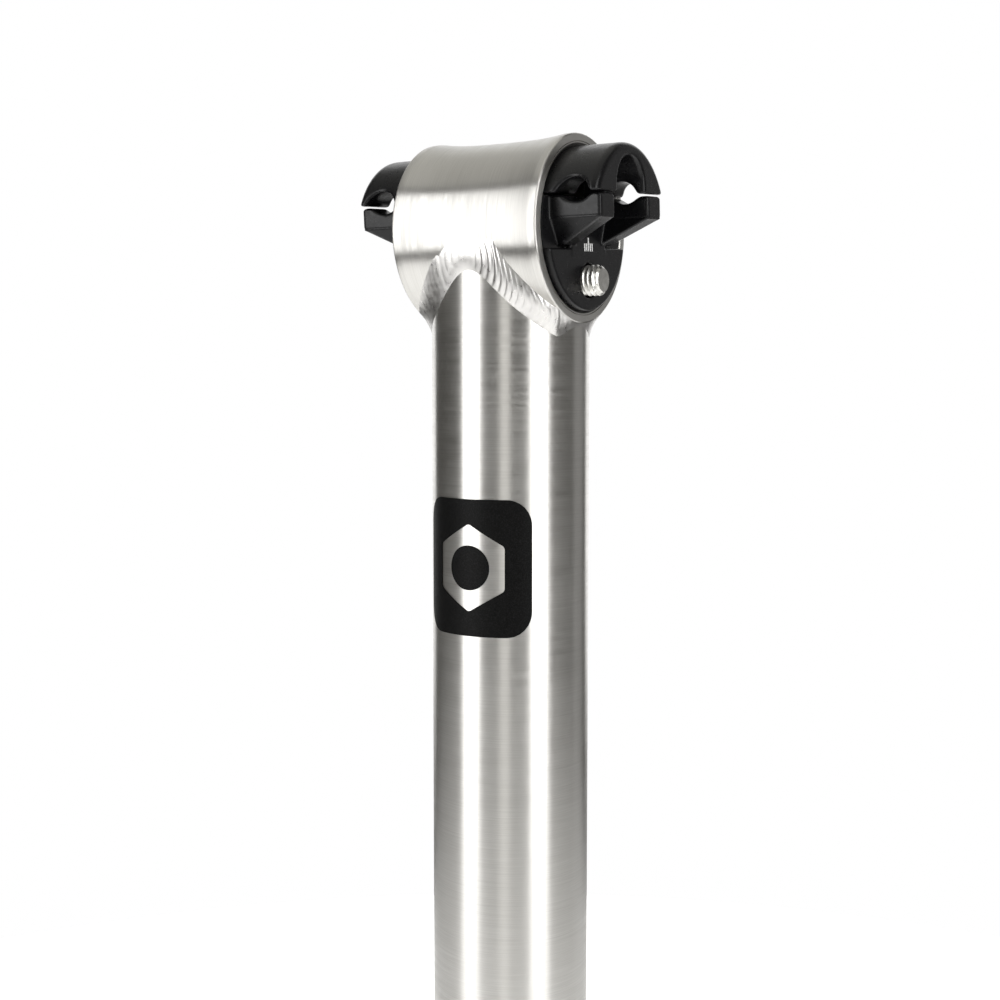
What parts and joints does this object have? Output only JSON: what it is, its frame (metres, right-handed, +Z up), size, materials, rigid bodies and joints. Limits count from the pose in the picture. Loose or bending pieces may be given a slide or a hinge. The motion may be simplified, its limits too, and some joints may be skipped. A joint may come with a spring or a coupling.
{
  "type": "seatpost",
  "caption": "Rigid bicycle seatpost: a round brushed tube, a transverse barrel on its top end, split rail clamps in the barrel mouths and a cross bolt through them.",
  "frame": {"origin": "middle of the tube's open bottom end, on the tube axis", "axes": "+Z up along the tube, +X along the barrel and the clamp bolt towards the bolt's threaded end, -Y towards the badge"},
  "size_m": [0.054, 0.0364, 0.3682],
  "materials": {
    "brushed_titanium": "titanium tube brushed round its axis, satin",
    "weld_titanium": "bare weld metal with even ripples",
    "black_anodised": "bead-blasted and black anodised, satin",
    "bolt_steel": "bright machined steel",
    "badge_black": "black printed panel, satin"
  },
  "bodies": {
    "post": {"post_tube": "brushed_titanium", "head_barrel": "brushed_titanium", "weld_bead": "weld_titanium", "badge": "badge_black"},
    "left_lower": {"lower_clamp_left": "black_anodised", "bolt_washer": "bolt_steel"},
    "bolt": {"clamp_bolt": "bolt_steel"},
    "right_lower": {"lower_clamp_right": "black_anodised"},
    "left_upper": {"upper_clamp_left": "black_anodised"},
    "right_upper": {"upper_clamp_right": "black_anodised"}
  },
  "joints": [
    {"name": "saddle_tilt", "type": "hinge", "parent": "post", "child": "left_lower", "pos_m": [0, 0, 0.35], "axis": [1, 0, 0], "range_deg": [-23.7, 16.3]},
    {"name": "bolt_turn", "type": "hinge", "parent": "left_lower", "child": "bolt", "pos_m": [0, 0.00064, 0.34002], "axis": [-1, 0, 0], "range_deg": [0, 972.1]},
    {"name": "right_lower_slide", "type": "slide", "parent": "left_lower", "child": "right_lower", "axis": [1, 0, 0], "range_m": [0, 0.0027]},
    {"name": "left_upper_slide", "type": "slide", "parent": "left_lower", "child": "left_upper", "axis": [-0.7071, -0.0456, 0.7056], "range_m": [0, 0.00382]},
    {"name": "right_upper_slide", "type": "slide", "parent": "left_lower", "child": "right_upper", "axis": [0.7071, -0.0456, 0.7056], "range_m": [0, 0.00382]}
  ],
  "couplings": [
    {"joint": "bolt_turn", "follows": "right_lower_slide", "rad_per_m": 6283.2},
    {"joint": "left_upper_slide", "follows": "right_lower_slide", "ratio": 1.4142},
    {"joint": "right_upper_slide", "follows": "right_lower_slide", "ratio": 1.4142}
  ]
}
